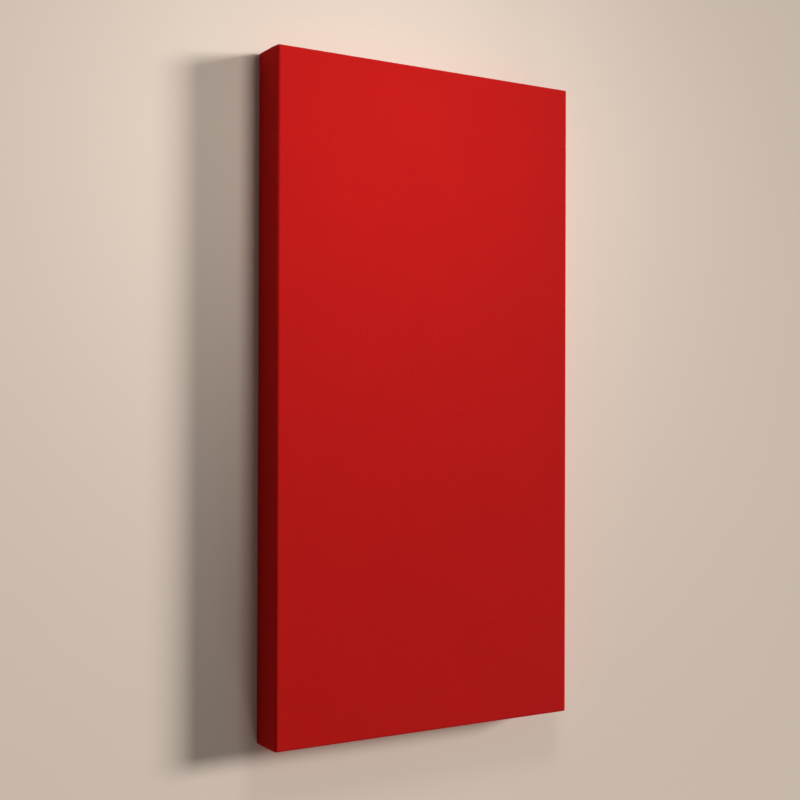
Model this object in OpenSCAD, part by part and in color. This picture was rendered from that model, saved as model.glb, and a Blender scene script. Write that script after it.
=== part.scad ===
// Fabric acoustic wall panel: a mineral wool slab held in a timber frame,
// wrapped in one sheet of woven cloth and closed behind with a thin scrim.
// It lies on its back with its face up: X is the width, Y the length, Z the
// depth. The origin is the middle of the back, on the floor.

/* [Insulation slab] */
// Width of the slab, which is the clear width of the frame
slab_w = 600; // [300:10:1200]
// Length of the slab, which is the clear length of the frame
slab_l = 1200; // [600:10:2400]
// Thickness of the slab
slab_t = 50; // [30:1:65]

/* [Frame] */
// Thickness of the boards
board_t = 19; // [16:1:30]
// Depth of the boards, from the wall side to the face
board_d = 78; // [64:1:120]
// Depth of the rebate in a stile that takes the end of a rail
rebate_d = 10; // [4:1:12]
// Radius sanded on the outer arrises of the frame
arris_r = 5; // [1:0.5:6]
// Width of the flat land on the front edge of a board
land_w = 9; // [7:0.5:12]
// Drop of the bevel that keeps a board's inner edge away from the cloth
bevel_drop = 2; // [1:0.5:6]

/* [Brace] */
// Width of the batten that crosses the frame behind the slab
brace_w = 38; // [20:1:80]
// Depth of the housing in a stile that takes the end of the batten
housing_d = 6; // [3:1:10]

/* [Cover] */
// Thickness of the woven cloth
cloth_t = 0.8; // [0.5:0.1:2]
// Width of the cloth that is turned on to the back edge of the frame
turn_w = 15; // [9:1:18]
// Depth of the crease along each fold of the cloth
crease_d = 0.4; // [0.2:0.1:0.4]
// Width of that crease
crease_w = 0.8; // [0.4:0.1:1.2]

/* [Back scrim] */
// Thickness of the scrim
scrim_t = 0.5; // [0.3:0.1:1]
// How far the scrim stays inside the outer edges of the panel
scrim_inset = 7; // [6:1:9]
// Length of the cut across each corner of the scrim
scrim_clip = 9; // [4:1:20]

/* [Hidden] */

// Plenty of sides, so that every arris is a true round
$fn = 48;
// A cut runs this far past the face that it opens
past = 1;

frame_w = slab_w + 2 * board_t;
frame_l = slab_l + 2 * board_t;
panel_w = frame_w + 2 * cloth_t;
panel_l = frame_l + 2 * cloth_t;
wrap_h = board_d + 2 * cloth_t;
cover_z = scrim_t;
frame_z = cover_z + cloth_t;
cover_r = arris_r + cloth_t;
brace_d = board_d - slab_t;
rail_l = slab_w + 2 * rebate_d;
brace_l = slab_w + 2 * housing_d;
window_w = frame_w - 2 * turn_w;
window_l = frame_l - 2 * turn_w;

timber = [0.83, 0.69, 0.47];
red_cloth = [0.74, 0.11, 0.10];
wool = [0.60, 0.57, 0.40];
black_scrim = [0.10, 0.10, 0.11];

// Rectangle about the origin with round corners
module round_rect(w, l, r) {
    square([w - 2 * r, l], center = true);
    square([w, l - 2 * r], center = true);
    for (x = [-1, 1], y = [-1, 1])
        translate([x * (w / 2 - r), y * (l / 2 - r)]) circle(r);
}

// Block standing on z = 0 with every edge rounded
module round_block(w, l, h, r) {
    intersection() {
        linear_extrude(h) round_rect(w, l, r);
        translate([0, l / 2, h / 2]) rotate([90, 0, 0])
            linear_extrude(l) round_rect(w, h, r);
        translate([-w / 2, 0, h / 2]) rotate([90, 0, 90])
            linear_extrude(w) round_rect(l, h, r);
    }
}

// Outer form of the bare frame, which the cloth is stretched over
module frame_form() {
    translate([0, 0, frame_z]) round_block(frame_w, frame_l, board_d, arris_r);
}

// Section of a board: outer face on x = 0, back edge on y = 0
module board_section() {
    polygon([[0, 0], [board_t, 0], [board_t, board_d - bevel_drop],
             [land_w, board_d], [0, board_d]]);
}

// Board of length l along Y, its outer face on x = 0
module board(l) {
    translate([0, l / 2, frame_z]) rotate([90, 0, 0])
        linear_extrude(l) board_section();
}

// Long board on the left, rebated for the rails and housed for the batten
module stile() {
    color(timber) difference() {
        intersection() {
            translate([-frame_w / 2, 0, 0]) board(frame_l);
            frame_form();
        }
        for (end = [-1, 1])
            translate([-rail_l / 2, end * frame_l / 2 - (end + 1) / 2 * board_t
                       + (end - 1) / 2 * past, frame_z - past])
                cube([rebate_d + past, board_t + past, board_d + 2 * past]);
        translate([-brace_l / 2, -brace_w / 2, frame_z - past])
            cube([housing_d + past, brace_w, brace_d + past]);
    }
}

// Short board at the bottom, its ends seated in the rebates of the stiles
module rail() {
    color(timber) intersection() {
        translate([0, -frame_l / 2, 0]) rotate([0, 0, 90]) board(rail_l);
        frame_form();
    }
}

module stile_left() { stile(); }
module stile_right() { mirror([1, 0, 0]) stile(); }
module rail_bottom() { rail(); }
module rail_top() { mirror([0, 1, 0]) rail(); }

// Batten that holds the slab up to the cloth and the stiles apart
module brace() {
    color(timber) translate([-brace_l / 2, -brace_w / 2, frame_z])
        cube([brace_l, brace_w, brace_d]);
}

// Slab pressed into the frame, its face level with the boards' lands
module slab() {
    color(wool) translate([-slab_w / 2, -slab_l / 2, frame_z + brace_d])
        cube([slab_w, slab_l, slab_t]);
}

// Creases where the cloth is folded: up each corner of the two short ends,
// and from each corner of the back to the corner of the turned edge
module fold_creases() {
    fold_h = wrap_h - 2 * cover_r;
    mitre_l = (turn_w + cloth_t) * sqrt(2);
    for (x = [-1, 1], y = [-1, 1]) {
        translate([x * (panel_w / 2 - cover_r), y * panel_l / 2,
                   cover_z + cover_r + fold_h / 2])
            cube([crease_w, 2 * crease_d, fold_h], center = true);
        translate([x * (window_w / 2 + turn_w / 2), y * (window_l / 2 + turn_w / 2),
                   cover_z])
            rotate([0, 0, x * y * 45])
                cube([mitre_l, crease_w, 2 * crease_d], center = true);
    }
}

// One sheet of cloth over the face and the edges, turned on to the back
module cover() {
    color(red_cloth) difference() {
        translate([0, 0, cover_z]) round_block(panel_w, panel_l, wrap_h, cover_r);
        frame_form();
        translate([-window_w / 2, -window_l / 2, cover_z - past])
            cube([window_w, window_l, cloth_t + 2 * past]);
        fold_creases();
    }
}

// Thin scrim over the open back, its corners clipped clear of the folds
module back_scrim() {
    x = panel_w / 2 - scrim_inset;
    y = panel_l / 2 - scrim_inset;
    c = scrim_clip;
    color(black_scrim) linear_extrude(scrim_t)
        polygon([[c - x, -y], [x - c, -y], [x, c - y], [x, y - c],
                 [x - c, y], [c - x, y], [-x, y - c], [-x, c - y]]);
}

cover();
stile_left();
stile_right();
rail_top();
rail_bottom();
brace();
slab();
back_scrim();
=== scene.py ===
"""Looks of a fabric acoustic wall panel: its stretched cloth, back scrim,
staples, timber and mineral wool, and the pale studio that it lies in."""

import math
import random

import bpy
from bpy.props import FloatProperty, FloatVectorProperty, PointerProperty
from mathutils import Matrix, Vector, noise


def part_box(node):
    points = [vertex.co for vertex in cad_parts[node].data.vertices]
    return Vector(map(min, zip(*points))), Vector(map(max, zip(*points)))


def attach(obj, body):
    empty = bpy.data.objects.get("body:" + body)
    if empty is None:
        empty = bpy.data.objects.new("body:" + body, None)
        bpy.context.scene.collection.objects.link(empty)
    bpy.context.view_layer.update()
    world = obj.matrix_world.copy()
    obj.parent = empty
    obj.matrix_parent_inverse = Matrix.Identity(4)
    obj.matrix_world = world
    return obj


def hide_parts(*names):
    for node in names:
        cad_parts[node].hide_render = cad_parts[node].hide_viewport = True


bl_info = {
    "name": "Fabric acoustic panel",
    "version": (1, 0, 0),
    "blender": (4, 5, 0),
    "location": "3D View > Sidebar > Acoustic panel",
    "description": "Dresses a framed acoustic panel in cloth, timber and wool",
    "category": "Object",
}

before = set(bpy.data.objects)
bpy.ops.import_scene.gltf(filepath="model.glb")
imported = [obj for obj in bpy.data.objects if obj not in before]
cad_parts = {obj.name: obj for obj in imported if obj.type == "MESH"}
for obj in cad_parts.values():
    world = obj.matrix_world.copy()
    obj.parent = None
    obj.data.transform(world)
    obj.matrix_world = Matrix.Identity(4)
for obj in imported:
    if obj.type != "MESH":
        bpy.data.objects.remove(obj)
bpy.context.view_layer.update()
ROOT = "root"
BOARDS_ALONG_Y = ("stile_left", "stile_right")
BOARDS_ALONG_X = ("rail_top", "rail_bottom", "brace")
# Seed of where the pith lies beside each board
PITH_SEED = 3
CLOTH_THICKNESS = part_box("cover")[1].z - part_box("slab")[1].z
BOARD_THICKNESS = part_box("stile_left")[1].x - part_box("stile_left")[0].x
MM = 0.001


# Settings that a user would change


class ClothSettings(bpy.types.PropertyGroup):
    """The woven cover"""

    colour: FloatVectorProperty(
        name="Cloth colour",
        description="Colour of the dyed yarn",
        subtype="COLOR",
        size=3,
        default=(0.508, 0.0082, 0.0071),
    )
    arris: FloatProperty(
        name="Arris radius",
        description="Radius that the cloth takes over the edges of the frame",
        unit="LENGTH",
        default=5.8 * MM,
    )
    turned: FloatProperty(
        name="Turned edge",
        description="How far the cloth reaches in from the outer edge on the back",
        unit="LENGTH",
        default=15.8 * MM,
    )
    yarn: FloatProperty(
        name="Yarn spacing",
        description="Distance between neighbouring yarns",
        unit="LENGTH",
        default=0.9 * MM,
    )
    pleat: FloatProperty(
        name="Pleat height",
        description="How far a corner's folded layers lift the cloth of the short ends",
        unit="LENGTH",
        default=0.9 * MM,
    )
    waver: FloatProperty(
        name="Face waver",
        description="How far the stretched face strays from flat",
        unit="LENGTH",
        default=0.15 * MM,
    )


class ScrimSettings(bpy.types.PropertyGroup):
    """The non-woven sheet over the back, and its staples"""

    colour: FloatVectorProperty(
        name="Scrim colour",
        description="Colour of the non-woven sheet",
        subtype="COLOR",
        size=3,
        default=(0.010, 0.010, 0.011),
    )
    clip: FloatProperty(
        name="Corner clip",
        description="How much of each side a corner's cut takes off",
        unit="LENGTH",
        default=9.0 * MM,
    )
    staple_pitch: FloatProperty(
        name="Staple spacing",
        description="Rough distance between neighbouring staples",
        unit="LENGTH",
        default=60.0 * MM,
    )
    staple_crown: FloatProperty(
        name="Staple crown",
        description="Length of a staple's crown",
        unit="LENGTH",
        default=10.0 * MM,
    )
    staple_leg: FloatProperty(
        name="Staple leg",
        description="Length of a staple's legs",
        unit="LENGTH",
        default=8.0 * MM,
    )


class TimberSettings(bpy.types.PropertyGroup):
    """The boards of the frame"""

    colour: FloatVectorProperty(
        name="Timber colour",
        description="Colour of the pale early wood",
        subtype="COLOR",
        size=3,
        default=(0.66, 0.45, 0.23),
    )
    ring: FloatProperty(
        name="Ring spacing",
        description="Distance between growth rings",
        unit="LENGTH",
        default=3.2 * MM,
    )


class WoolSettings(bpy.types.PropertyGroup):
    """The mineral wool slab"""

    colour: FloatVectorProperty(
        name="Wool colour",
        description="Colour of the matted fibre",
        subtype="COLOR",
        size=3,
        default=(0.32, 0.28, 0.13),
    )
    roughness: FloatProperty(
        name="Surface relief",
        description="How far loose fibre breaks up the cut faces",
        unit="LENGTH",
        default=0.5 * MM,
    )


class StudioSettings(bpy.types.PropertyGroup):
    """The floor, the lamps and the camera"""

    floor_colour: FloatVectorProperty(
        name="Floor colour",
        description="Warm pale colour of the floor",
        subtype="COLOR",
        size=3,
        default=(0.75, 0.63, 0.53),
    )
    backdrop_colour: FloatVectorProperty(
        name="Backdrop colour",
        description="Pale colour behind the panel, which the far floor fades into",
        subtype="COLOR",
        size=3,
        default=(0.525, 0.441, 0.371),
    )
    floor_radius: FloatProperty(
        name="Floor radius",
        description="Radius of the round floor",
        unit="LENGTH",
        default=14.0,
    )
    fade_from: FloatProperty(
        name="Fade from",
        description="How far out the floor starts to fade into the background",
        unit="LENGTH",
        default=1.45,
    )
    fade_to: FloatProperty(
        name="Fade to",
        description="How far out the floor has faded into the background",
        unit="LENGTH",
        default=3.4,
    )
    camera_place: FloatVectorProperty(
        name="Camera place",
        description="Where the camera stands",
        subtype="TRANSLATION",
        size=3,
        default=(-1.3079, -0.0246, 2.1419),
    )
    camera_turn: FloatVectorProperty(
        name="Camera turn",
        description="The camera's rotation about X, Y and Z, in degrees",
        size=3,
        default=(0.41, -31.02, 0.219),
    )
    lens: FloatProperty(
        name="Lens",
        description="Focal length on a sensor 36 mm wide, in millimetres",
        default=58.74,
    )
    fill: FloatProperty(
        name="Fill light",
        description="Strength of the even light from the surroundings",
        default=0.12,
    )


# Meshes


class BoxGrid:
    """The skin of a box as a grid of quads, with its edges rounded.

    lines holds the places of the grid lines along X, Y and Z, from the box's
    middle, and the quads of a side lie between them."""

    def __init__(self, middle, lines, radius):
        self.middle = Vector(middle)
        self.lines = lines
        self.radius = radius
        self.half = [max(axis_lines) for axis_lines in lines]
        self.inner = [half - radius for half in self.half]

    def place(self, key):
        """A grid point of the square-edged box, from its middle."""
        return Vector([self.lines[axis][key[axis]] for axis in range(3)])

    def skin(self, key):
        """The same point on the rounded box, and the outward normal there."""
        point = self.place(key)
        core = Vector([min(max(c, -i), i) for c, i in zip(point, self.inner)])
        normal = (point - core).normalized()
        # At a corner the three rounds cross, so it reaches out past a ball
        widest = max(normal.yz.length, normal.xz.length, normal.xy.length)
        return self.middle + core + normal * (self.radius / widest), normal

    def unroll(self, axis, place):
        """How far place lies from the middle, measured along the rounded skin."""
        past = abs(place) - self.inner[axis]
        if past <= 0:
            return place
        along = self.inner[axis] + self.radius * math.atan2(past, self.radius)
        return math.copysign(along, place)

    def quads(self, keep):
        """Every quad that keep allows, as (axis, sign, its four keys)."""
        for axis in range(3):
            one, two = (axis + 1) % 3, (axis + 2) % 3
            for sign in (-1, 1):
                level = 0 if sign < 0 else len(self.lines[axis]) - 1
                for i in range(len(self.lines[one]) - 1):
                    for j in range(len(self.lines[two]) - 1):
                        corners = [(i, j), (i + 1, j), (i + 1, j + 1), (i, j + 1)]
                        keys = []
                        for a, b in corners:
                            key = [0, 0, 0]
                            key[axis], key[one], key[two] = level, a, b
                            keys.append(tuple(key))
                        middle = (self.place(keys[0]) + self.place(keys[2])) / 2
                        if keep(axis, sign, middle):
                            yield axis, sign, keys if sign > 0 else keys[::-1]

    def mesh(self, point_of, keep=lambda axis, sign, middle: True):
        """What point_of gives for each key that the quads use, and their faces."""
        number, points, faces = {}, [], []
        for _axis, _sign, keys in self.quads(keep):
            for key in keys:
                if key not in number:
                    number[key] = len(points)
                    points.append(point_of(key))
            faces.append([number[key] for key in keys])
        return points, faces


def edge_lines(half, radius, offsets, coarse, arc_cells=4):
    """Grid lines from -half to half: a round of 45 degrees at each end, then
    the given offsets inwards, then even lines about coarse apart."""
    inner = half - radius
    turns = [math.radians(45 * n / arc_cells) for n in range(1, arc_cells + 1)]
    arc = [inner + radius * math.tan(turn) for turn in turns]
    near = [inner - offset for offset in offsets]
    span = 2 * near[-1]
    count = max(1, round(span / coarse))
    middle = [span * n / count - near[-1] for n in range(1, count)]
    upper = sorted(arc + near)
    return [-place for place in reversed(upper)] + middle + upper


def smooth_step(value, low, high):
    """0 below low, 1 above high, and a smooth rise between them."""
    t = min(max((value - low) / (high - low), 0.0), 1.0)
    return t * t * (3 - 2 * t)


def make_object(name, points, faces, smooth=True):
    """A mesh object in the scene, from points and faces."""
    mesh = bpy.data.meshes.new(name)
    mesh.from_pydata([tuple(p) for p in points], [], faces)
    mesh.validate()
    mesh.polygons.foreach_set("use_smooth", [smooth] * len(mesh.polygons))
    mesh.update()
    made = bpy.data.objects.new(name, mesh)
    bpy.context.scene.collection.objects.link(made)
    return made


def dress(piece, material):
    """Gives a new piece its material and its slot, and lets it ride on the part."""
    piece.data.materials.append(material)
    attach(piece, ROOT)


# Cover

# Distances in from the face's edge between which it comes free to waver
WAVER_GROWS = (4 * MM, 60 * MM)
WAVES_A_METRE = 5.0
# Across this band the cloth climbs on to the folded layers, and between these
# depths below the face they grow to their full height
FOLD_STEP = (-1.5 * MM, 3.5 * MM)
FOLD_GROWS = (2 * MM, 26 * MM)
# They set in between these leans of a normal: to the short ends rather than
# the long edges, and up from the back
LEAN_TO_END = (-0.25, 0.3)
LEAN_OFF_BACK = (-1.0, -0.4)
# Depth of the dips where staples draw the cloth in, their rough spacing and
# their reach up an edge
DIP_DEPTH = 0.25 * MM
DIP_SPACING = 60 * MM
DIP_REACH = 9 * MM
# Depth of the crease where the turned edges meet, and how near to it a point
# lies on it
MITRE_DEPTH = 0.35 * MM
MITRE_REACH = 0.1 * MM
# On the flat of the face and the back a normal is more upright than this
LEVEL = 0.9
# Cells across the turned edge, steps near an edge that are halved, and the
# size of a cell away from the edges
TURNED_CELLS = 4
HALVED_STEPS = 6
WIDE_CELL = 20 * MM


def cloth_grid(cloth):
    """The grid of the cover's outer skin, fine at the folds and edges."""
    low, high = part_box("cover")
    half = (high - low) / 2
    rise = 2 * (half.z - cloth.arris)
    steps_z = round(rise / ((cloth.turned - cloth.arris) / TURNED_CELLS))
    step = rise / steps_z
    fine = [step * n / 2 for n in range(2 * HALVED_STEPS + 1)]
    pleat = fine + [step * n for n in range(HALVED_STEPS + 1, steps_z + 1)]
    lines = [
        edge_lines(half.x, cloth.arris, pleat, WIDE_CELL),
        edge_lines(half.y, cloth.arris, fine, WIDE_CELL),
    ]
    arc = edge_lines(half.z, cloth.arris, [0.0], rise)
    inside = [half.z - cloth.arris - offset for offset in pleat[1:-1]]
    lines.append(sorted(arc + inside))
    return BoxGrid((low + high) / 2, lines, cloth.arris)


def face_waver(cloth, place, inside):
    """The face strays a little from flat away from the frame."""
    free = smooth_step(inside, *WAVER_GROWS)
    return cloth.waver * free * noise.noise(place * WAVES_A_METRE)


def pleat_lift(cloth, from_side, from_face, normal):
    """Folded layers lie under the cloth of the short ends, behind a line that
    leaves the face's corner at 45 degrees."""
    under = smooth_step(from_face - from_side, *FOLD_STEP)
    grown = smooth_step(from_face, *FOLD_GROWS)
    on_end = smooth_step(abs(normal.y) - abs(normal.x), *LEAN_TO_END)
    off_back = smooth_step(normal.z, *LEAN_OFF_BACK)
    return cloth.pleat * under * grown * on_end * off_back


def staple_dip(place, from_back, normal):
    """Staples draw the cloth in along the back edge, and less between them."""
    out_x, out_y = abs(normal.x), abs(normal.y)
    along = place.x if out_y > out_x else place.y
    draw = 0.5 - 0.5 * math.cos(2 * math.pi * along / DIP_SPACING)
    return DIP_DEPTH * draw * max(out_x, out_y) * math.exp(-from_back / DIP_REACH)


def cloth_relief(cloth, grid, key, normal):
    """How far the real cloth lies outside or inside the plain wrapped form."""
    place = grid.place(key)
    from_side = grid.half[0] - abs(place.x)
    from_end = grid.half[1] - abs(place.y)
    from_face = grid.half[2] - place.z
    from_back = grid.half[2] + place.z
    relief = 0.0
    if normal.z > LEVEL:
        relief += face_waver(cloth, place, min(from_side, from_end))
    relief += pleat_lift(cloth, from_side, from_face, normal)
    relief -= staple_dip(place, from_back, normal)
    if normal.z < -LEVEL and abs(from_side - from_end) < MITRE_REACH:
        relief -= MITRE_DEPTH
    return relief


def flat_place(grid, axis, sign, keys, key):
    """Where a corner of a quad lies on the cloth when it is spread out flat."""
    x, y, z = grid.place(key)
    half = grid.half
    edge = [grid.unroll(a, half[a]) for a in range(3)]
    if axis == 2 and sign > 0:
        return grid.unroll(0, x), grid.unroll(1, y), 0.0
    if axis == 2:
        middle = (grid.place(keys[0]) + grid.place(keys[2])) / 2
        if half[0] - abs(middle.x) < half[1] - abs(middle.y):
            over_side = 2 * (edge[0] + edge[2]) - abs(grid.unroll(0, x))
            return math.copysign(over_side, x), grid.unroll(1, y), 0.0
        over_end = 2 * (edge[1] + edge[2]) - abs(grid.unroll(1, y))
        return grid.unroll(0, x), math.copysign(over_end, y), 0.0
    down = edge[2] - grid.unroll(2, z)
    if axis == 0:
        return sign * (edge[0] + down), grid.unroll(1, y), 0.0
    return grid.unroll(0, x), sign * (edge[1] + down), 0.0


def build_cover(cloth):
    """One sheet of cloth with its real thickness, over the face and edges."""
    grid = cloth_grid(cloth)
    window = [grid.half[a] - cloth.turned for a in range(2)]

    def covered(axis, sign, middle):
        open_back = abs(middle.x) < window[0] and abs(middle.y) < window[1]
        return axis != 2 or sign > 0 or not open_back

    def both_layers(key):
        point, normal = grid.skin(key)
        relief = cloth_relief(cloth, grid, key, normal)
        return point + normal * relief, point - normal * CLOTH_THICKNESS

    layers, faces = grid.mesh(both_layers, covered)
    outer, inner = zip(*layers)
    flat = []
    for axis, sign, keys in grid.quads(covered):
        flat += [flat_place(grid, axis, sign, keys, key) for key in keys]
    under = [[corner + len(outer) for corner in reversed(face)] for face in faces]
    flat_under = []
    for n in range(len(faces)):
        flat_under += reversed(flat[4 * n : 4 * n + 4])
    rim, flat_rim = rim_faces(faces, len(outer), flat)
    piece = make_object("cover_cloth", [*outer, *inner], faces + under + rim)
    spread = piece.data.attributes.new("cloth_place", "FLOAT_VECTOR", "CORNER")
    places = [c for place in flat + flat_under + flat_rim for c in place]
    spread.data.foreach_set("vector", places)
    edge = [grid.unroll(a, grid.half[a]) for a in range(3)]
    turned = [edge[a] - grid.unroll(a, window[a]) for a in range(2)]
    size = [2 * (edge[a] + 2 * edge[2] + turned[a]) for a in range(2)]
    return piece, size


def rim_faces(faces, layer, flat):
    """Quads that join the open border of a sheet's two layers, and their places."""
    border = {}
    for n, face in enumerate(faces):
        for c, corner in enumerate(face):
            following = face[(c + 1) % 4]
            places = (flat[4 * n + c], flat[4 * n + (c + 1) % 4])
            border[(corner, following)] = places
    rim, places = [], []
    for (a, b), (place_a, place_b) in border.items():
        if (b, a) not in border:
            rim.append([b, a, a + layer, b + layer])
            places += [place_b, place_a, place_a, place_b]
    return rim, places


# Scrim and staples

# The flat wire of a staple, and the radius of its bends
WIRE_WIDTH = 1.0 * MM
WIRE_THICKNESS = 0.45 * MM
WIRE_BEND = 0.6 * MM
# How far a crown stays above the floor, and how far the first staple of a row
# stays from the scrim's corner
CROWN_CLEARANCE = 0.05 * MM
ROW_END = 32 * MM
# How far a staple may be turned out of its row, in degrees, and the seed of
# those turns
SLANT = 6
SLANT_SEED = 7
# The scrim's grid lines along a crown, as shares of half of it, and across its
# wire
CROWN_LINES = (-1.25, -1.0, -0.5, 0, 0.5, 1.0, 1.25)
WIRE_LINES = [share * MM for share in (-1.6, -1.0, -0.45, 0, 0.45, 1.0, 1.6)]
# Lines closer together than this become one
LINE_GAP = 0.2 * MM
# Distances from the middle of the wire between which the scrim springs back
DIMPLE_SIDE = (0.4 * MM, 1.3 * MM)


def staple_rows(scrim):
    """Where the staples stand along X and along Y, and how far out their lines are."""
    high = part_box("back_scrim")[1]
    rows = []
    for axis in range(2):
        end = high[axis] - ROW_END
        count = round(2 * end / scrim.staple_pitch)
        rows.append([2 * end * n / count - end for n in range(count + 1)])
    outer = (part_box("stile_right")[1].x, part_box("rail_top")[1].y)
    return rows, [edge - BOARD_THICKNESS / 2 for edge in outer]


def staple_places(scrim):
    """The middle of each staple's crown on the back, and its turn."""
    rows, line = staple_rows(scrim)
    slant = random.Random(SLANT_SEED)
    for side in (-1, 1):
        for x in rows[0]:
            turn = math.radians(slant.uniform(-SLANT, SLANT))
            yield Vector((x, side * line[1], 0)), turn
        for y in rows[1]:
            turn = math.radians(90 + slant.uniform(-SLANT, SLANT))
            yield Vector((side * line[0], y, 0)), turn


def scrim_lines(scrim, axis, half):
    """Grid lines of the scrim along one axis, close together at each staple."""
    rows, line = staple_rows(scrim)
    reach = scrim.staple_crown / 2
    lines = {-half, half, -half + scrim.clip, half - scrim.clip}
    for place in rows[axis]:
        lines |= {place + reach * share for share in CROWN_LINES}
    for side in (-1, 1):
        lines |= {side * line[axis] + across for across in WIRE_LINES}
    kept = []
    for place in sorted(lines):
        if not kept or place - kept[-1] > LINE_GAP:
            kept.append(place)
    return kept


def build_scrim(scrim):
    """A thin sheet across the open back, dimpled under its staples."""
    low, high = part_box("back_scrim")
    half = (high - low) / 2
    lines = [scrim_lines(scrim, axis, half[axis]) for axis in range(2)]
    lines.append([-half.z, half.z])
    grid = BoxGrid((low + high) / 2, lines, 0.0)
    staples = list(staple_places(scrim))

    def pressed(key):
        place = grid.place(key)
        clip_scrim_corner(place, half, scrim.clip)
        place.z += scrim_dimple(scrim, staples, place)
        return grid.middle + place

    piece = make_object("scrim_cloth", *grid.mesh(pressed), smooth=False)
    return piece, (2 * half.x, 2 * half.y), 4 * half.x * half.y - 2 * scrim.clip**2


def clip_scrim_corner(place, half, clip):
    """Squeezes the square at a corner into the half that the cut leaves."""
    in_x = abs(place.x) - (half.x - clip)
    in_y = abs(place.y) - (half.y - clip)
    if in_x > 0 and in_y > 0:
        less = min(in_x, in_y) / 2
        place.x -= math.copysign(less, place.x)
        place.y -= math.copysign(less, place.y)


def scrim_dimple(scrim, staples, place):
    """How far a staple's crown presses the scrim up at this point."""
    depth = 0.0
    for middle, turn in staples:
        away = place - middle
        if abs(away.x) > scrim.staple_crown or abs(away.y) > scrim.staple_crown:
            continue
        along = abs(away.x * math.cos(turn) + away.y * math.sin(turn))
        across = abs(away.y * math.cos(turn) - away.x * math.sin(turn))
        reach = 1 - smooth_step(along, 0.5 * scrim.staple_crown, 0.65 * scrim.staple_crown)
        depth = max(depth, reach * (1 - smooth_step(across, *DIMPLE_SIDE)))
    return WIRE_THICKNESS * depth


def staple_path(crown, leg, bend, steps=4):
    """Middle line of a staple's wire, from one leg's tip to the other's."""
    half = crown / 2
    points = [Vector((-half, 0, leg))]
    for side, start in ((-1, 180), (1, 270)):
        corner = Vector((side * (half - bend), 0, bend))
        for n in range(steps + 1):
            angle = math.radians(start + 90 * n / steps)
            points.append(corner + bend * Vector((math.cos(angle), 0, math.sin(angle))))
    points.append(Vector((half, 0, leg)))
    return points


def build_staples(scrim):
    """Every staple of the back, as one mesh of bent flat wire."""
    path = staple_path(scrim.staple_crown, scrim.staple_leg, WIRE_BEND)
    middle_line = CROWN_CLEARANCE + WIRE_THICKNESS / 2
    points, faces = [], []
    for place, turn in staple_places(scrim):
        first = len(points)
        across = Vector((-math.sin(turn), math.cos(turn), 0))
        ahead = Vector((math.cos(turn), math.sin(turn), 0))
        for n, point in enumerate(path):
            before, after = path[max(n - 1, 0)], path[min(n + 1, len(path) - 1)]
            run = (after - before).normalized()
            out = Vector((run.z, 0, -run.x))
            for w, t in ((-1, -1), (1, -1), (1, 1), (-1, 1)):
                local = point + out * (t * WIRE_THICKNESS / 2)
                spot = place + ahead * local.x + across * (w * WIRE_WIDTH / 2)
                points.append(spot + Vector((0, 0, local.z + middle_line)))
        for n in range(len(path) - 1):
            for c in range(4):
                a, b = first + 4 * n + c, first + 4 * n + (c + 1) % 4
                faces.append([a, a + 4, b + 4, b])
        last = first + 4 * (len(path) - 1)
        faces.append([first, first + 1, first + 2, first + 3])
        faces.append([last + 3, last + 2, last + 1, last])
    return make_object("staples", points, faces, smooth=False)


# Wool

# Softening of the slab's cut edges
WOOL_EDGE = 2.5 * MM
# Size of its grid cells along X, Y and Z
WOOL_CELLS = (12 * MM, 12 * MM, 5 * MM)
# How often the loose fibre rises and falls in a metre, along X, Y and Z
TUFTS_A_METRE = Vector((60, 60, 300))


def build_wool(wool):
    """The slab, with cut faces broken up by loose fibre and softened edges."""
    low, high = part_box("slab")
    half = (high - low) / 2
    lines = [edge_lines(half[a], WOOL_EDGE, [0.0], WOOL_CELLS[a]) for a in range(3)]
    grid = BoxGrid((low + high) / 2, lines, WOOL_EDGE)

    def tufted(key):
        point, normal = grid.skin(key)
        loose = 0.5 + 0.5 * noise.noise(point * TUFTS_A_METRE)
        return point - normal * wool.roughness * loose

    return make_object("wool_slab", *grid.mesh(tufted))


# Materials


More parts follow.
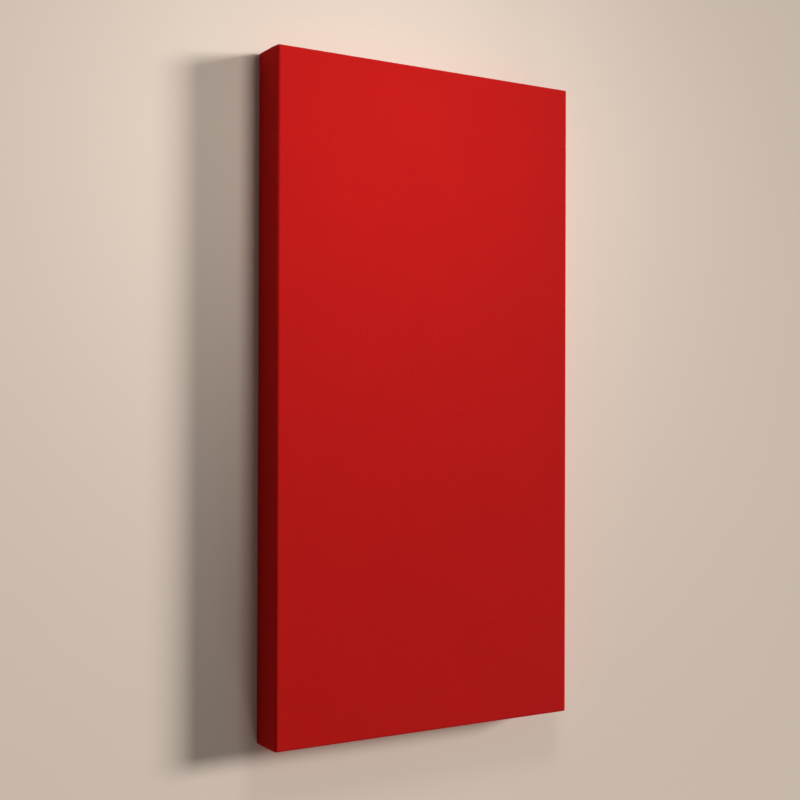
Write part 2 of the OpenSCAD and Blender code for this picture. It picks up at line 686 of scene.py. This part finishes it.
class MaterialMaker:
    """Adds nodes to one material and wires them as they are made."""

    def __init__(self, name):
        self.material = bpy.data.materials.new(name)
        self.material.use_nodes = True
        self.tree = self.material.node_tree
        self.shader = self.tree.nodes["Principled BSDF"]

    def put(self, socket, value):
        """Wires value to socket if it is another node's, and sets it otherwise."""
        if isinstance(value, bpy.types.NodeSocket):
            self.tree.links.new(value, socket)
        else:
            socket.default_value = value

    def node(self, kind, values=(), **settings):
        """A new node, with its settings and the values of its inputs."""
        made = self.tree.nodes.new(kind)
        for name, value in settings.items():
            setattr(made, name, value)
        for name, value in dict(values).items():
            self.put(made.inputs[name], value)
        return made

    def math(self, operation, *values):
        """The result of a Math node."""
        return self.node("ShaderNodeMath", enumerate(values), operation=operation).outputs[0]

    def scaled(self, vector, scale):
        """A vector with each of its parts multiplied."""
        made = self.node("ShaderNodeVectorMath", {0: vector, 1: scale}, operation="MULTIPLY")
        return made.outputs[0]

    def noise(self, vector, scale=1.0, detail=3.0, roughness=0.55):
        """The value of a Noise texture, from 0 to 1."""
        values = {"Vector": vector, "Scale": scale, "Detail": detail, "Roughness": roughness}
        return self.node("ShaderNodeTexNoise", values).outputs["Fac"]

    def between(self, value, low, high, to_low=0.0, to_high=1.0):
        """Value carried from one range to another, and kept inside it."""
        values = {"Value": value, "From Min": low, "From Max": high}
        values |= {"To Min": to_low, "To Max": to_high}
        return self.node("ShaderNodeMapRange", values, interpolation_type="SMOOTHSTEP").outputs[0]

    def blend(self, share, first, second):
        """A colour between two others."""
        made = self.node("ShaderNodeMix", data_type="RGBA")
        for number, value in ((0, share), (6, first), (7, second)):
            self.put(made.inputs[number], value)
        return made.outputs[2]

    def place(self):
        """The object's own coordinates, which are the row frame's here."""
        return self.node("ShaderNodeTexCoord").outputs["Object"]

    def finish(self, colour, roughness, height, distance, strength=1.0):
        """Wires the colour, roughness and relief to the shader."""
        self.put(self.shader.inputs["Base Color"], colour)
        self.put(self.shader.inputs["Roughness"], roughness)
        values = {"Height": height, "Distance": distance, "Strength": strength}
        bump = self.node("ShaderNodeBump", values)
        self.put(self.shader.inputs["Normal"], bump.outputs[0])
        return self.material


def shade(colour, factor):
    """A colour made darker or lighter, with its alpha."""
    return tuple(min(channel * factor, 1.0) for channel in colour[:3]) + (1.0,)


def woven_cloth(cloth):
    """Plain weave: yarns over and under each other, of slightly uneven dye, with painted shade in
    the hollows between the yarns and painted light on their crowns.
    """
    make = MaterialMaker("red_woven_cloth")
    place = make.node("ShaderNodeAttribute", attribute_name="cloth_place").outputs["Vector"]
    in_yarns = make.scaled(place, (1 / cloth.yarn, 1 / cloth.yarn, 0.0))
    parts = make.node("ShaderNodeSeparateXYZ", {"Vector": in_yarns}).outputs
    swing = [make.math("SINE", make.math("MULTIPLY", parts[a], math.pi)) for a in (0, 1)]
    body = [make.math("MULTIPLY", make.math("ABSOLUTE", s), 0.5) for s in swing]
    turn = [make.math("MULTIPLY", make.math("SIGN", s), 0.5) for s in swing]
    warp = make.math("MULTIPLY_ADD", turn[0], swing[1], body[0])
    under = make.math("MULTIPLY", turn[1], swing[0])
    weft = make.math("SUBTRACT", body[1], under)
    height = make.math("MAXIMUM", warp, weft)
    warp_on_top = make.math("GREATER_THAN", warp, weft)
    slub_warp = make.noise(make.scaled(in_yarns, (0.9, 0.012, 0.0)), detail=2.0)
    slub_weft = make.noise(make.scaled(in_yarns, (0.012, 0.9, 0.0)), detail=2.0)
    slub = make.node("ShaderNodeMix", {0: warp_on_top, 2: slub_weft, 3: slub_warp}).outputs[0]
    dye = make.math("MULTIPLY", make.noise(place, scale=7.0, detail=2.0), 0.14)
    uneven = make.math("MULTIPLY_ADD", make.between(slub, 0.3, 0.7), 0.22, dye)
    # Painted shade and light: the weave's height darkens the colour in the hollows between yarns
    # and lightens it on their crowns. Slub and dye add real uneven tone.
    light = make.math("MULTIPLY_ADD", make.between(height, 0.25, 0.9), 0.64, uneven)
    # Shaded and lit copies of the cloth colour: painted shade for the hollows, painted light for
    # the crowns.
    hollow, crown = shade(cloth.colour, 0.62), shade(cloth.colour, 1.16)
    colour = make.blend(light, hollow, crown)
    roughness = make.between(slub, 0.2, 0.8, to_low=0.82, to_high=0.94)
    make.shader.inputs["Specular IOR Level"].default_value = 0.04
    make.shader.inputs["Sheen Weight"].default_value = 0.05
    make.shader.inputs["Sheen Roughness"].default_value = 0.6
    make.shader.inputs["Sheen Tint"].default_value = (1.0, 0.12, 0.1, 1.0)
    return make.finish(colour, roughness, height, distance=0.2 * MM, strength=0.8)


def spunbond_scrim(scrim):
    """Non-woven sheet: pressed dots and stray fibres in matt black."""
    make = MaterialMaker("black_spunbond")
    place = make.place()
    dots = make.node("ShaderNodeTexVoronoi", {"Vector": place, "Scale": 620.0, "Randomness": 0.15})
    pressed = make.between(dots.outputs["Distance"], 0.15, 0.4)
    fibres = make.noise(make.scaled(place, (900.0, 250.0, 500.0)), detail=5.0)
    share = make.math("MULTIPLY_ADD", pressed, 0.4, make.math("MULTIPLY", fibres, 0.6))
    hollow, raised = shade(scrim.colour, 0.6), shade(scrim.colour, 1.9)
    colour = make.blend(share, hollow, raised)
    roughness = make.between(pressed, 0.0, 1.0, to_low=0.62, to_high=0.85)
    return make.finish(colour, roughness, share, distance=0.15 * MM)


def staple_wire():
    """Galvanised flat wire with drawn scratches and a dull bloom."""
    make = MaterialMaker("galvanised_wire")
    place = make.place()
    scratch = make.noise(make.scaled(place, (3000.0, 3000.0, 300.0)))
    bloom = make.noise(place, scale=900.0)
    dull, bright = (0.42, 0.43, 0.45, 1.0), (0.68, 0.68, 0.69, 1.0)
    colour = make.blend(bloom, dull, bright)
    make.shader.inputs["Metallic"].default_value = 1.0
    roughness = make.between(scratch, 0.3, 0.7, to_low=0.28, to_high=0.5)
    return make.finish(colour, roughness, scratch, distance=0.02 * MM)


def planed_timber(timber, name, lengthways, pith):
    """Softwood whose growth rings stand about a pith beside the board."""
    make = MaterialMaker(name)
    place = make.place()
    stretch = [1.0, 1.0, 1.0]
    stretch[lengthways] = 0.06
    grain_place = make.scaled(place, tuple(stretch))
    sway = make.noise(grain_place, scale=9.0, detail=2.0)
    parts = make.node("ShaderNodeSeparateXYZ", {"Vector": place}).outputs
    across = parts[1 - lengthways]
    off_side = make.math("SUBTRACT", across, pith[0])
    off_back = make.math("SUBTRACT", parts[2], pith[1])
    back_square = make.math("MULTIPLY", off_back, off_back)
    radius = make.math("SQRT", make.math("MULTIPLY_ADD", off_side, off_side, back_square))
    bent = make.math("MULTIPLY_ADD", sway, 0.02, radius)
    ring = make.math("FRACT", make.math("DIVIDE", bent, timber.ring))
    late = make.math("POWER", ring, 3.0)
    fibre = make.noise(grain_place, scale=700.0, detail=4.0, roughness=0.7)
    blotch = make.noise(place, scale=14.0)
    share = make.math("MULTIPLY_ADD", late, 0.65, make.math("MULTIPLY", fibre, 0.25))
    share = make.math("MULTIPLY_ADD", blotch, 0.12, share)
    early_wood = shade(timber.colour, 1.05)
    red, green, blue = timber.colour
    late_wood = (red * 0.62, green * 0.5, blue * 0.4, 1.0)
    colour = make.blend(share, early_wood, late_wood)
    roughness = make.between(share, 0.0, 1.0, to_low=0.68, to_high=0.5)
    height = make.math("SUBTRACT", make.math("MULTIPLY", late, 0.4), fibre)
    return make.finish(colour, roughness, height, distance=0.12 * MM, strength=0.7)


def matted_wool(wool):
    """Mineral fibre in thin layers, with pale strands and darker binder spots."""
    make = MaterialMaker("mineral_wool")
    place = make.place()
    layer = make.noise(make.scaled(place, (45.0, 45.0, 420.0)), detail=6.0, roughness=0.75)
    strand = make.noise(make.scaled(place, (260.0, 1900.0, 1400.0)), detail=4.0)
    other = make.noise(make.scaled(place, (1900.0, 260.0, 1400.0)), detail=4.0)
    spots = make.node("ShaderNodeTexVoronoi", {"Vector": place, "Scale": 95.0}).outputs["Distance"]
    share = make.math("MULTIPLY_ADD", layer, 0.35, make.math("MULTIPLY", strand, 0.45))
    share = make.math("MULTIPLY_ADD", other, 0.45, share)
    share = make.between(share, 0.35, 0.9)
    matted = make.blend(share, shade(wool.colour, 0.55), shade(wool.colour, 1.55))
    binder = make.between(spots, 0.05, 0.14, to_low=0.55, to_high=0.0)
    binder_brown = (0.09, 0.06, 0.025, 1.0)
    colour = make.blend(binder, matted, binder_brown)
    roughness = make.between(share, 0.0, 1.0, to_low=0.98, to_high=0.85)
    return make.finish(colour, roughness, share, distance=0.6 * MM)


def painted_floor(studio):
    """Even warm paint with a faint roller texture, which fades into the
    background far off."""
    make = MaterialMaker("pale_floor_paint")
    place = make.place()
    out = make.node("ShaderNodeVectorMath", {0: place}, operation="LENGTH").outputs["Value"]
    faded = make.between(out, studio.fade_from, studio.fade_to)
    seen = make.node("ShaderNodeLightPath").outputs["Is Camera Ray"]
    glow = make.node("ShaderNodeEmission", {"Color": shade(studio.backdrop_colour, 1.0)})
    share = make.math("MULTIPLY", faded, seen)
    values = {0: share, 1: make.shader.outputs[0], 2: glow.outputs[0]}
    mixed = make.node("ShaderNodeMixShader", values)
    make.put(make.tree.nodes["Material Output"].inputs["Surface"], mixed.outputs[0])
    cloudy = make.noise(place, scale=1.4, detail=2.0)
    stipple = make.noise(place, scale=260.0)
    darker = shade(studio.floor_colour, 0.985)
    lighter = shade(studio.floor_colour, 1.015)
    colour = make.blend(cloudy, darker, lighter)
    roughness = make.between(stipple, 0.3, 0.7, to_low=0.8, to_high=0.92)
    make.shader.inputs["Specular IOR Level"].default_value = 0.2
    return make.finish(colour, roughness, stipple, distance=0.05 * MM)


# Studio

# How far the floor stays under the panel, and the number of its sides
FLOOR_DROP = 0.2 * MM
FLOOR_SIDES = 96
# Colour of the even fill light
WARM_WHITE = (1.0, 0.95, 0.92, 1.0)


def hang_lamp(name, data, place):
    """Stands a lamp at place, facing the panel and not seen itself."""
    made = bpy.data.objects.new(name, data)
    made.location = place
    made.rotation_euler = (-Vector(place)).to_track_quat("-Z", "Y").to_euler()
    made.visible_camera = False
    bpy.context.scene.collection.objects.link(made)


def window_light(place, spread, strength):
    """Even light from far beyond place, as soft as a spread in degrees makes it."""
    data = bpy.data.lights.new("window_light", "SUN")
    data.angle = math.radians(spread)
    data.energy = strength
    hang_lamp("window_light", data, place)


def softbox(name, place, size, power):
    """A square soft lamp."""
    data = bpy.data.lights.new(name, "AREA")
    data.shape = "SQUARE"
    data.size = size
    data.energy = power
    hang_lamp(name, data, place)


def surroundings(studio):
    """Even fill light, and a pale background where a camera or gloss sees it."""
    world = bpy.data.worlds.new("studio_world")
    bpy.context.scene.world = world
    world.use_nodes = True
    tree = world.node_tree
    fill = tree.nodes["Background"]
    fill.inputs["Color"].default_value = WARM_WHITE
    fill.inputs["Strength"].default_value = studio.fill
    seen = tree.nodes.new("ShaderNodeBackground")
    seen.inputs["Color"].default_value = shade(studio.backdrop_colour, 1.0)
    ray = tree.nodes.new("ShaderNodeLightPath")
    share = ray.outputs["Is Camera Ray"]
    for other in ("Is Glossy Ray", "Is Transmission Ray"):
        either = tree.nodes.new("ShaderNodeMath")
        either.operation = "MAXIMUM"
        tree.links.new(share, either.inputs[0])
        tree.links.new(ray.outputs[other], either.inputs[1])
        share = either.outputs[0]
    mix = tree.nodes.new("ShaderNodeMixShader")
    tree.links.new(share, mix.inputs[0])
    tree.links.new(fill.outputs[0], mix.inputs[1])
    tree.links.new(seen.outputs[0], mix.inputs[2])
    tree.links.new(mix.outputs[0], tree.nodes["World Output"].inputs[0])


def build_floor(studio):
    """A round floor just under the panel."""
    middle = Vector((0, 0, -FLOOR_DROP))
    points = [middle]
    for n in range(FLOOR_SIDES):
        angle = 2 * math.pi * n / FLOOR_SIDES
        out = Vector((math.cos(angle), math.sin(angle), 0))
        points.append(middle + studio.floor_radius * out)
    faces = [[0, 1 + n, 1 + (n + 1) % FLOOR_SIDES] for n in range(FLOOR_SIDES)]
    floor = make_object("studio_floor", points, faces, smooth=False)
    floor.data.materials.append(painted_floor(studio))


def stand_camera(studio):
    """The camera looks down on the panel's face from its left side."""
    data = bpy.data.cameras.new("studio_camera")
    data.sensor_width = 36.0
    data.lens = studio.lens
    camera = bpy.data.objects.new("studio_camera", data)
    camera.location = studio.camera_place
    camera.rotation_euler = [math.radians(angle) for angle in studio.camera_turn]
    bpy.context.scene.collection.objects.link(camera)
    bpy.context.scene.camera = camera


# Operators


class ACOUSTIC_PANEL_OT_studio(bpy.types.Operator):
    """Sets up the camera, the pale floor and the soft light"""

    bl_idname = "acoustic_panel.studio"
    bl_label = "Studio"

    def execute(self, context):
        studio = context.scene.panel_studio
        stand_camera(studio)
        build_floor(studio)
        surroundings(studio)
        window_light(place=(5.0, 1.0, 2.6), spread=14.0, strength=3.68)
        softbox("face_softbox", place=(-0.1, 0.66, 0.86), size=0.35, power=4.4)
        softbox("near_softbox", place=(0.8, -5.0, 1.2), size=1.2, power=35.0)
        context.scene.view_settings.view_transform = "Standard"
        return {"FINISHED"}


class ACOUSTIC_PANEL_OT_cover(bpy.types.Operator):
    """Stretches the woven cloth over the frame and folds its corners"""

    bl_idname = "acoustic_panel.cover"
    bl_label = "Cover"

    def execute(self, context):
        cloth = context.scene.panel_cloth
        piece, size = build_cover(cloth)
        dress(piece, woven_cloth(cloth))
        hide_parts("cover")
        return {"FINISHED"}


class ACOUSTIC_PANEL_OT_scrim(bpy.types.Operator):
    """Lays the thin scrim over the open back"""

    bl_idname = "acoustic_panel.scrim"
    bl_label = "Back scrim"

    def execute(self, context):
        scrim = context.scene.panel_scrim
        piece, size, area = build_scrim(scrim)
        dress(piece, spunbond_scrim(scrim))
        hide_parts("back_scrim")
        return {"FINISHED"}


class ACOUSTIC_PANEL_OT_staples(bpy.types.Operator):
    """Drives the staples through scrim and cloth into the frame"""

    bl_idname = "acoustic_panel.staples"
    bl_label = "Staples"

    def execute(self, context):
        dress(build_staples(context.scene.panel_scrim), staple_wire())
        return {"FINISHED"}


class ACOUSTIC_PANEL_OT_timber(bpy.types.Operator):
    """Gives the boards of the frame their planed softwood, each its own grain"""

    bl_idname = "acoustic_panel.timber"
    bl_label = "Frame timber"

    def execute(self, context):
        timber = context.scene.panel_timber
        away = random.Random(PITH_SEED)
        for lengthways, names in ((1, BOARDS_ALONG_Y), (0, BOARDS_ALONG_X)):
            for name in names:
                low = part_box(name)[0]
                beside = low[1 - lengthways] - away.uniform(40, 90) * MM
                pith = (beside, away.uniform(-30, 60) * MM)
                wood = planed_timber(timber, "timber_" + name, lengthways, pith)
                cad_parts[name].material_slots[0].material = wood
        return {"FINISHED"}


class ACOUSTIC_PANEL_OT_wool(bpy.types.Operator):
    """Puts the mineral wool slab in the frame"""

    bl_idname = "acoustic_panel.wool"
    bl_label = "Wool slab"

    def execute(self, context):
        wool = context.scene.panel_wool
        piece = build_wool(wool)
        dress(piece, matted_wool(wool))
        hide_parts("slab")
        return {"FINISHED"}


class ACOUSTIC_PANEL_PT_sidebar(bpy.types.Panel):
    """Lists the panel's settings and pieces"""

    bl_label = "Acoustic panel"
    bl_space_type = "VIEW_3D"
    bl_region_type = "UI"
    bl_category = "Acoustic panel"

    def draw(self, context):
        for name, group, operators in PARTS:
            box = self.layout.box()
            for setting in group.__annotations__:
                box.prop(getattr(context.scene, name), setting)
            for operator in operators:
                box.operator(operator.bl_idname)


PARTS = (
    ("panel_studio", StudioSettings, (ACOUSTIC_PANEL_OT_studio,)),
    ("panel_cloth", ClothSettings, (ACOUSTIC_PANEL_OT_cover,)),
    ("panel_scrim", ScrimSettings, (ACOUSTIC_PANEL_OT_scrim, ACOUSTIC_PANEL_OT_staples)),
    ("panel_timber", TimberSettings, (ACOUSTIC_PANEL_OT_timber,)),
    ("panel_wool", WoolSettings, (ACOUSTIC_PANEL_OT_wool,)),
)


def register():
    """Adds the settings, operators and sidebar."""
    for name, group, operators in PARTS:
        bpy.utils.register_class(group)
        setattr(bpy.types.Scene, name, PointerProperty(type=group))
        for operator in operators:
            bpy.utils.register_class(operator)
    bpy.utils.register_class(ACOUSTIC_PANEL_PT_sidebar)


def unregister():
    """Takes them out again."""
    bpy.utils.unregister_class(ACOUSTIC_PANEL_PT_sidebar)
    for name, group, operators in reversed(PARTS):
        for operator in reversed(operators):
            bpy.utils.unregister_class(operator)
        delattr(bpy.types.Scene, name)
        bpy.utils.unregister_class(group)


def main():
    """Builds every piece in order."""
    register()
    bpy.ops.acoustic_panel.studio()
    bpy.ops.acoustic_panel.cover()
    bpy.ops.acoustic_panel.scrim()
    bpy.ops.acoustic_panel.staples()
    bpy.ops.acoustic_panel.timber()
    bpy.ops.acoustic_panel.wool()


if __name__ == "__main__":
    main()
